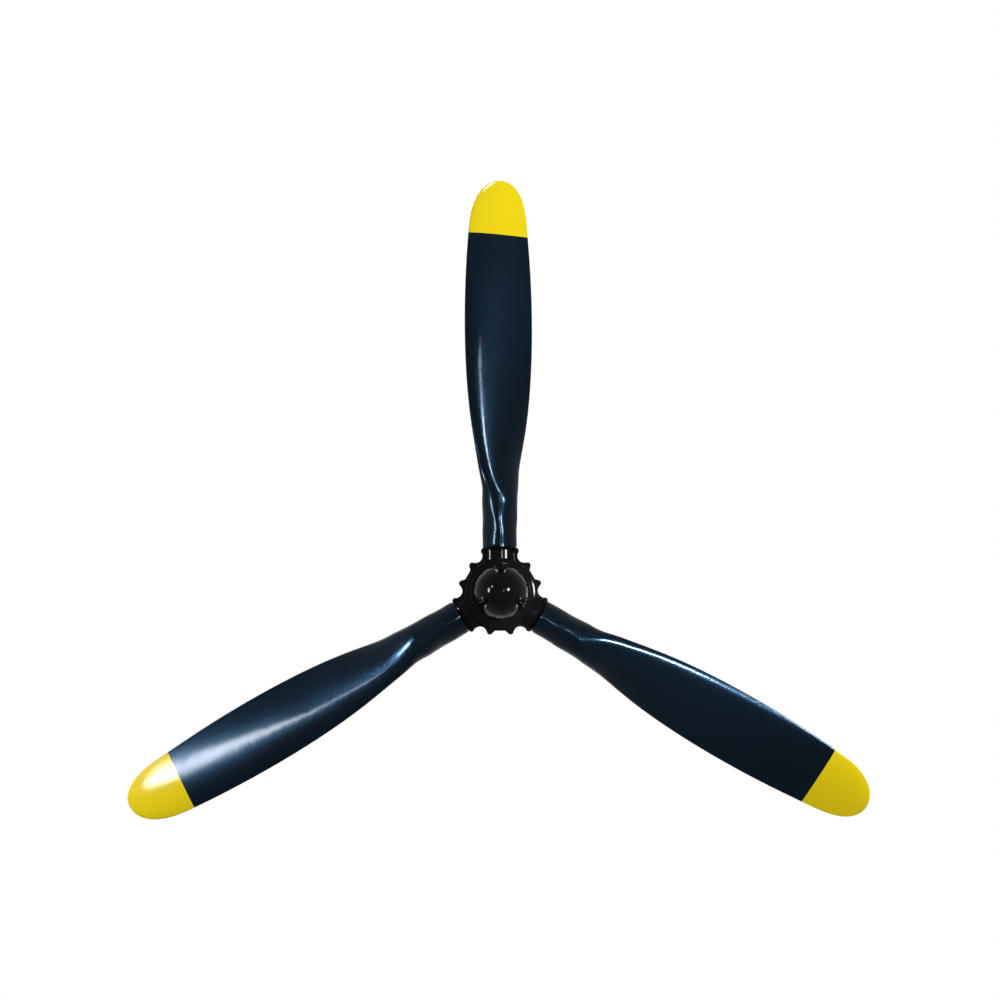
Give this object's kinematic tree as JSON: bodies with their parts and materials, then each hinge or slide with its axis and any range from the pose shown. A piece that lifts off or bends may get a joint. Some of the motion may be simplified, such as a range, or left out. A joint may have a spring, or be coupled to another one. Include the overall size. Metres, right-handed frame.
{
  "type": "aircraft propeller",
  "caption": "Controllable-pitch metal aircraft propeller with twisted blades, yellow tips, a two-part lugged hub and a domed pitch-change cylinder.",
  "frame": {"origin": "centre of the rear mounting face, on the shaft axis", "axes": "+Y along the shaft to the engine, -Y forward through the dome, +Z along the first blade"},
  "size_m": [1.7726, 0.294, 1.554],
  "materials": {
    "hub_black": "gloss black paint",
    "dome_black": "gloss black paint",
    "blade_blue": "satin dark blue metallic paint, yellow tip",
    "bare_aluminium": "machined",
    "steel": "machined",
    "black_steel": "black",
    "bronze": "machined",
    "seal_rubber": "matt"
  },
  "bodies": {
    "hub": {"hub_front_half": "hub_black", "hub_rear_half": "hub_black", "hub_bolts": "black_steel", "hub_washers": "black_steel", "hub_nuts": "black_steel", "hub_dowels": "steel", "mount_studs": "steel", "drive_dowels": "steel", "pilot_seal": "seal_rubber", "rod_guide_bush": "bronze", "dome_cylinder": "dome_black", "dome_lock_ring": "hub_black", "dome_seal": "seal_rubber", "return_spring": "steel", "blade_1_outer_race": "steel", "blade_1_journal_bush": "bronze", "blade_1_mouth_seal": "seal_rubber", "blade_2_outer_race": "steel", "blade_2_journal_bush": "bronze", "blade_2_mouth_seal": "seal_rubber", "blade_3_outer_race": "steel", "blade_3_journal_bush": "bronze", "blade_3_mouth_seal": "seal_rubber"},
    "pitch_slider": {"pitch_rod": "steel", "pitch_fork": "steel", "fork_nut": "steel", "piston": "bare_aluminium", "piston_seal": "seal_rubber", "piston_nut": "steel"},
    "blade_1": {"blade_1": "blade_blue", "blade_1_inner_race": "steel", "blade_1_roller_cage": "bronze", "blade_1_rollers": "steel", "blade_1_pitch_pin": "steel", "blade_1_pin_bush": "bronze"},
    "blade_2": {"blade_2": "blade_blue", "blade_2_inner_race": "steel", "blade_2_roller_cage": "bronze", "blade_2_rollers": "steel", "blade_2_pitch_pin": "steel", "blade_2_pin_bush": "bronze"},
    "blade_3": {"blade_3": "blade_blue", "blade_3_inner_race": "steel", "blade_3_roller_cage": "bronze", "blade_3_rollers": "steel", "blade_3_pitch_pin": "steel", "blade_3_pin_bush": "bronze"}
  },
  "joints": [
    {"name": "blade_1_pitch", "type": "hinge", "parent": "hub", "child": "blade_1", "pos_m": [0, -0.058, 0], "axis": [0, 0, 1], "range_deg": [-9, 9]},
    {"name": "blade_2_pitch", "type": "hinge", "parent": "hub", "child": "blade_2", "pos_m": [0, -0.058, 0], "axis": [0.866, 0, -0.5], "range_deg": [-9, 9]},
    {"name": "blade_3_pitch", "type": "hinge", "parent": "hub", "child": "blade_3", "pos_m": [0, -0.058, 0], "axis": [-0.866, 0, -0.5], "range_deg": [-9, 9]},
    {"name": "piston_slide", "type": "slide", "parent": "hub", "child": "pitch_slider", "axis": [0, 1, 0], "range_m": [-0.0032, 0.0032], "deforming": ["return_spring"]}
  ],
  "couplings": [
    {"joint": "blade_2_pitch", "follows": "blade_1_pitch", "ratio": 1},
    {"joint": "blade_3_pitch", "follows": "blade_1_pitch", "ratio": 1},
    {"joint": "piston_slide", "follows": "blade_1_pitch", "m_per_rad": 0.02}
  ]
}
